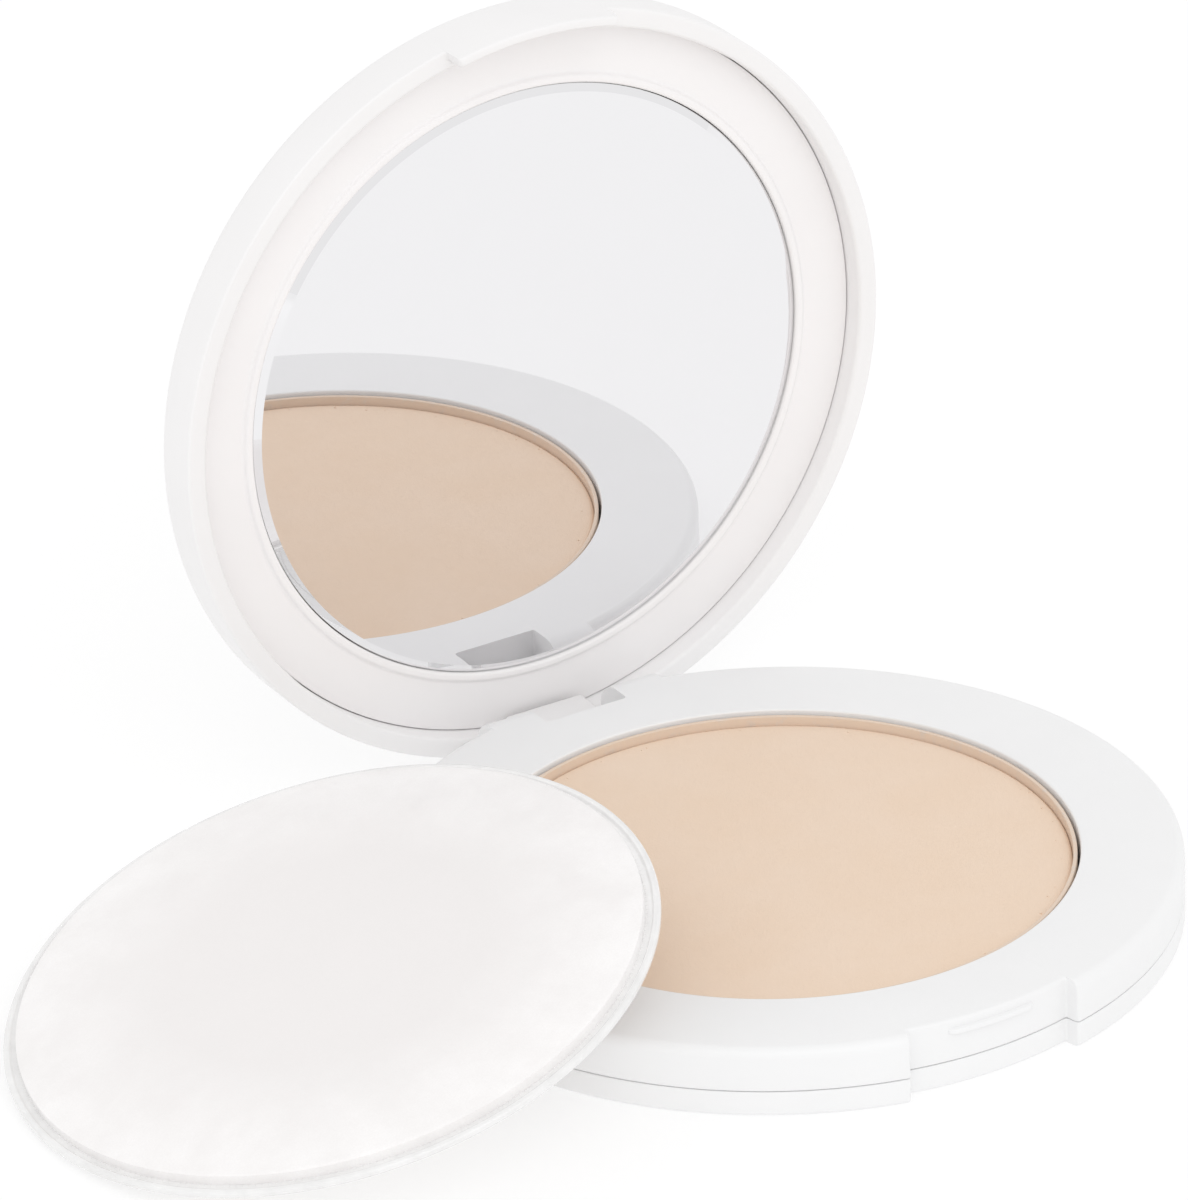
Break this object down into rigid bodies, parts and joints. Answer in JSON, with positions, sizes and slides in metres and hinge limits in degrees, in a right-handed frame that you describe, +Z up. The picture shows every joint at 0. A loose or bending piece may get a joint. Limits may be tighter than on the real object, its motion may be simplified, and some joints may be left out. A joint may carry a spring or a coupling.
{
  "type": "powder compact",
  "caption": "Round hinged powder compact standing open, with a mirror in the lid, pressed powder in the base and a round puff leaning on its edge.",
  "frame": {"origin": "middle of the base's flat underside, on the ground", "axes": "+Z up out of the powder; -Y is the front with the catch, +Y the hinge; +X along the hinge pin to the right"},
  "size_m": [0.1163, 0.0842, 0.0766],
  "materials": {
    "case_plastic": "polished white moulding",
    "frame_plastic": "satin white moulding",
    "tinplate": "bright tinplate",
    "powder": "pressed powder, matte, beige",
    "glue": "soft adhesive",
    "label_paper": "plain white paper",
    "pin_steel": "drawn wire",
    "mirror_glass": "clear bevelled glass",
    "mirror_silver": "silvering and its paint",
    "puff_velour": "short pile velour",
    "puff_satin": "satin",
    "puff_foam": "soft foam",
    "puff_binding": "glossy welded edge tape"
  },
  "bodies": {
    "base": {"base_tray": "case_plastic", "base_body": "case_plastic", "powder_pan": "tinplate", "pressed_powder": "powder", "pan_glue": "glue", "shade_label": "label_paper", "hinge_pin": "pin_steel"},
    "lid": {"lid_shell": "case_plastic", "lid_inner_frame": "frame_plastic", "mirror_glass": "mirror_glass", "mirror_silvering": "mirror_silver", "mirror_pad": "glue"},
    "puff": {"puff_front": "puff_velour", "puff_back": "puff_satin", "puff_foam": "puff_foam", "puff_binding": "puff_binding"}
  },
  "joints": [
    {"name": "lid_hinge", "type": "hinge", "parent": "base", "child": "lid", "pos_m": [0, 0.03621, 0.00218], "axis": [1, 0, 0], "range_deg": [0, 90]},
    {"name": "puff_lift", "type": "hinge", "parent": "base", "child": "puff", "pos_m": [-0.0788, 0, 0.00143], "axis": [0, -1, 0], "range_deg": [0, 165.4]}
  ],
  "couplings": [
    {"joint": "puff_lift", "follows": "lid_hinge", "ratio": 1.8375}
  ]
}
